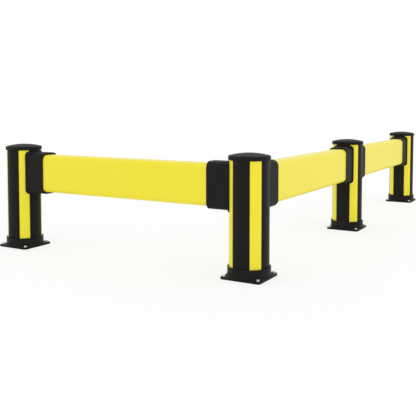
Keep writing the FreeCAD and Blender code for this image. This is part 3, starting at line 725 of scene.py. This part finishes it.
class BARRIER_OT_stage(bpy.types.Operator):
    """Sets up the camera, the lights and the floor"""
    bl_idname = "barrier.stage"
    bl_label = "Stage"

    def add_camera(self, scene, sizes):
        """The camera stands low in front of the corner post, to its right."""
        data = bpy.data.cameras.new("camera")
        data.sensor_width = 36
        data.lens = sizes.lens
        data.shift_y = sizes.shift
        data.clip_end = 200
        camera = bpy.data.objects.new("camera", data)
        camera.location = sizes.camera_at
        camera.rotation_euler = (math.radians(90) - sizes.camera_dip, 0, sizes.camera_heading)
        scene.collection.objects.link(camera)
        scene.camera = camera

    def add_side_light(self, scene, sizes):
        """A wide soft lamp on the right, low over the floor."""
        # How wide the lamp is in the sky, how far it is tilted from overhead, and its turn to the front.
        width, tilt, turn = math.radians(70), math.radians(78), math.radians(-8)
        data = bpy.data.lights.new("side light", "SUN")
        data.energy = sizes.side_light * math.pi
        data.angle = width
        lamp = bpy.data.objects.new("side light", data)
        lamp.rotation_euler = (0, tilt, turn)
        scene.collection.objects.link(lamp)

    def floor_material(self):
        """Matt white that takes shadows near the barrier and glows more and more into the distance."""
        material, tree = new_material("studio floor, matt white")
        grain = node(tree, "ShaderNodeTexNoise", (-600, 0), inputs={"Scale": 40.0, "Detail": 4.0})
        tint = tint_of(tree, grain.outputs["Fac"], linear("#FCFCFC"), linear("#FAFAFA"))
        matt = node(tree, "ShaderNodeBsdfDiffuse", (0, 0), inputs={"Color": tint})
        glow = node(tree, "ShaderNodeEmission", (0, -200), inputs={"Color": (1, 1, 1, 1), "Strength": 1.0})
        ray = node(tree, "ShaderNodeLightPath", (-600, 400))
        place = node(tree, "ShaderNodeTexCoord", (-600, -300)).outputs["Object"]
        reach = node(tree, "ShaderNodeVectorMath", (-300, -300), settings={"operation": "LENGTH"},
                     inputs={0: place})
        fade = node(tree, "ShaderNodeMapRange", (0, -400), inputs={
            "Value": reach.outputs["Value"], "From Min": 2.0, "From Max": 5.0,
            "To Min": 0.75, "To Max": 1.0})
        share = node(tree, "ShaderNodeMath", (200, 300), settings={"operation": "MULTIPLY"}, inputs={
            0: ray.outputs["Is Camera Ray"], 1: fade.outputs["Result"]})
        mixed = node(tree, "ShaderNodeMixShader", (500, 0), inputs={
            0: share.outputs["Value"], 1: matt.outputs["BSDF"], 2: glow.outputs["Emission"]})
        close_material(tree, mixed.outputs["Shader"])
        return material

    def add_floor(self, scene, sizes):
        """A level square under the barrier."""
        material = self.floor_material()
        mesh = bpy.data.meshes.new("floor")
        half = sizes.floor_side / 2
        corners = [(-half, -half, 0), (half, -half, 0), (half, half, 0), (-half, half, 0)]
        mesh.from_pydata(corners, [], [(0, 1, 2, 3)])
        mesh.materials.append(material)
        floor = bpy.data.objects.new("floor", mesh)
        scene.collection.objects.link(floor)

    def add_studio(self, scene):
        """White all round. What is seen or mirrored is pure white. What gives light is a little less."""
        world = bpy.data.worlds.new("studio")
        scene.world = world
        world.use_nodes = True
        tree = world.node_tree
        tree.nodes.clear()
        ray = node(tree, "ShaderNodeLightPath", (-600, 300))
        light = node(tree, "ShaderNodeBackground", (0, 0), inputs={
            "Color": (1, 1, 1, 1), "Strength": 0.985})
        white = node(tree, "ShaderNodeBackground", (0, -200), inputs={
            "Color": (1, 1, 1, 1), "Strength": 1.0})
        seen = node(tree, "ShaderNodeMath", (-300, 300), settings={"operation": "MAXIMUM"}, inputs={
            0: ray.outputs["Is Camera Ray"], 1: ray.outputs["Is Glossy Ray"]})
        seen = node(tree, "ShaderNodeMath", (-100, 300), settings={"operation": "MAXIMUM"}, inputs={
            0: seen.outputs["Value"], 1: ray.outputs["Is Transmission Ray"]})
        mixed = node(tree, "ShaderNodeMixShader", (300, 0), inputs={
            0: seen.outputs["Value"], 1: light.outputs["Background"], 2: white.outputs["Background"]})
        node(tree, "ShaderNodeOutputWorld", (600, 0), inputs={"Surface": mixed.outputs["Shader"]})

    def execute(self, context):
        scene, sizes = context.scene, context.scene.barrier_stage
        self.add_camera(scene, sizes)
        self.add_side_light(scene, sizes)
        self.add_floor(scene, sizes)
        self.add_studio(scene)
        return {"FINISHED"}


class BARRIER_OT_sockets(bpy.types.Operator):
    """Finishes the sockets and the steel inside, which keep their CAD shapes"""
    bl_idname = "barrier.sockets"
    bl_label = "Sockets and Inner Steel"

    def execute(self, context):
        for part in frame["record"]["subparts"]:
            if part["node"].rpartition("_")[0] in KEPT_NODES:
                dress_node(part["node"], part["material_slot"])
        return {"FINISHED"}


class BARRIER_PT_panel(bpy.types.Panel):
    """Lists the barrier's pieces"""
    bl_idname = "BARRIER_PT_panel"
    bl_label = "Crash Barrier"
    bl_space_type = "VIEW_3D"
    bl_region_type = "UI"
    bl_category = "Crash Barrier"

    def draw(self, context):
        for operator in OPERATORS:
            self.layout.operator(operator.bl_idname)
        for group in GROUPS:
            sizes = getattr(context.scene, group)
            for name in sizes.bl_rna.properties.keys():
                if name not in ("rna_type", "name"):
                    self.layout.prop(sizes, name)


OPERATORS = (BARRIER_OT_sockets, BARRIER_OT_rails, BARRIER_OT_posts, BARRIER_OT_caps, BARRIER_OT_feet,
             BARRIER_OT_anchors, BARRIER_OT_stage)
GROUPS = {"barrier_colours": BarrierColours, "barrier_sizes": BarrierSizes, "barrier_stage": StageSizes}


def register():
    for group, kind in GROUPS.items():
        bpy.utils.register_class(kind)
        setattr(bpy.types.Scene, group, PointerProperty(type=kind))
    for kind in (*OPERATORS, BARRIER_PT_panel):
        bpy.utils.register_class(kind)


def unregister():
    for kind in (BARRIER_PT_panel, *reversed(OPERATORS)):
        bpy.utils.unregister_class(kind)
    for group, kind in reversed(GROUPS.items()):
        delattr(bpy.types.Scene, group)
        bpy.utils.unregister_class(kind)


def main():
    register()
    scene = bpy.context.scene
    scene.view_settings.view_transform = "Standard"
    make_finishes(scene.barrier_colours)
    bpy.ops.barrier.sockets()
    bpy.ops.barrier.rails()
    bpy.ops.barrier.posts()
    bpy.ops.barrier.caps()
    bpy.ops.barrier.feet()
    bpy.ops.barrier.anchors()
    bpy.ops.barrier.stage()


if __name__ == "__main__":
    main()
